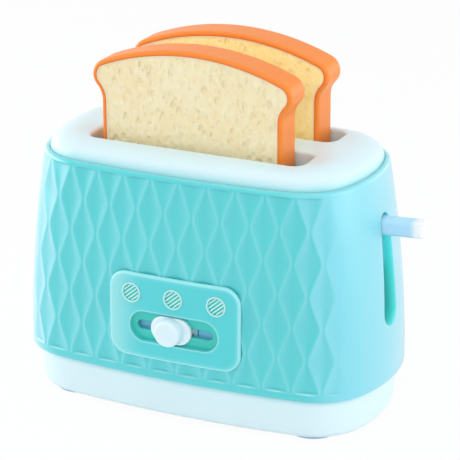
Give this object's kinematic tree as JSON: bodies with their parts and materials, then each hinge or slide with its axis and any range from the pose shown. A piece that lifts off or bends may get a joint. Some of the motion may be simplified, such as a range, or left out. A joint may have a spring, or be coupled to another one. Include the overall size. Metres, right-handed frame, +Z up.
{
  "type": "toy toaster",
  "caption": "Toy pop-up toaster: lozenge-relief sleeve on a plinth, domed cover with two toast slices, sprung side lever and a sliding latch knob on a front panel.",
  "frame": {"origin": "on the table, level with the bottoms of the four feet, at the middle of the toy's whole length and depth, lever and knob included", "axes": "+X along the length towards the lever end, -Y to the control panel, +Z up"},
  "size_m": [0.195, 0.1024, 0.1723],
  "materials": {
    "sleeve_turquoise": "satin moulded",
    "panel_turquoise": "satin moulded",
    "cover_white": "semi-gloss moulded",
    "plinth_white": "semi-gloss moulded",
    "frame_white": "as moulded",
    "carriage_blue": "as moulded",
    "lever_blue": "semi-gloss moulded",
    "knob_white": "semi-gloss moulded",
    "plate_blue": "as moulded",
    "screw_steel": "zinc plated",
    "rod_steel": "ground",
    "spring_steel": "drawn wire",
    "foot_grey": "matte",
    "toast_crust": "satin moulded",
    "toast_bread": "fine texture"
  },
  "bodies": {
    "housing": {"body_shell": "sleeve_turquoise", "top_cover": "cover_white", "base_plate": "plinth_white", "control_panel": "panel_turquoise", "guide_tower": "frame_white", "guide_rod_front": "rod_steel", "guide_rod_rear": "rod_steel", "return_spring_front": "spring_steel", "return_spring_rear": "spring_steel", "foot_front_left": "foot_grey", "foot_front_right": "foot_grey", "foot_rear_left": "foot_grey", "foot_rear_right": "foot_grey", "base_screws": "screw_steel", "cover_screws": "screw_steel", "panel_screws": "screw_steel", "tower_screws": "screw_steel"},
    "carriage": {"carriage": "carriage_blue", "lever": "lever_blue", "lever_screw": "screw_steel"},
    "slider": {"slider_knob": "knob_white", "slide_plate": "plate_blue", "latch_bolt": "plate_blue", "knob_screw": "screw_steel"},
    "toast_front": {"toast_crust_front": "toast_crust", "toast_face_front_outer": "toast_bread", "toast_face_front_inner": "toast_bread"},
    "toast_rear": {"toast_crust_rear": "toast_crust", "toast_face_rear_outer": "toast_bread", "toast_face_rear_inner": "toast_bread"}
  },
  "joints": [
    {"name": "carriage_slide", "type": "slide", "parent": "housing", "child": "carriage", "axis": [0, 0, 1], "range_m": [-0.039, 0], "stiffness_N_per_m": 70, "springref_m": 0.03, "deforming": ["return_spring_front", "return_spring_rear"]},
    {"name": "slider_slide", "type": "slide", "parent": "housing", "child": "slider", "axis": [1, 0, 0], "range_m": [-0.0103, 0.0131]},
    {"name": "toast_front_lift", "type": "slide", "parent": "carriage", "child": "toast_front", "axis": [0, 0, 1], "range_m": [0, 0.095]},
    {"name": "toast_rear_lift", "type": "slide", "parent": "carriage", "child": "toast_rear", "axis": [0, 0, 1], "range_m": [0, 0.095]}
  ]
}
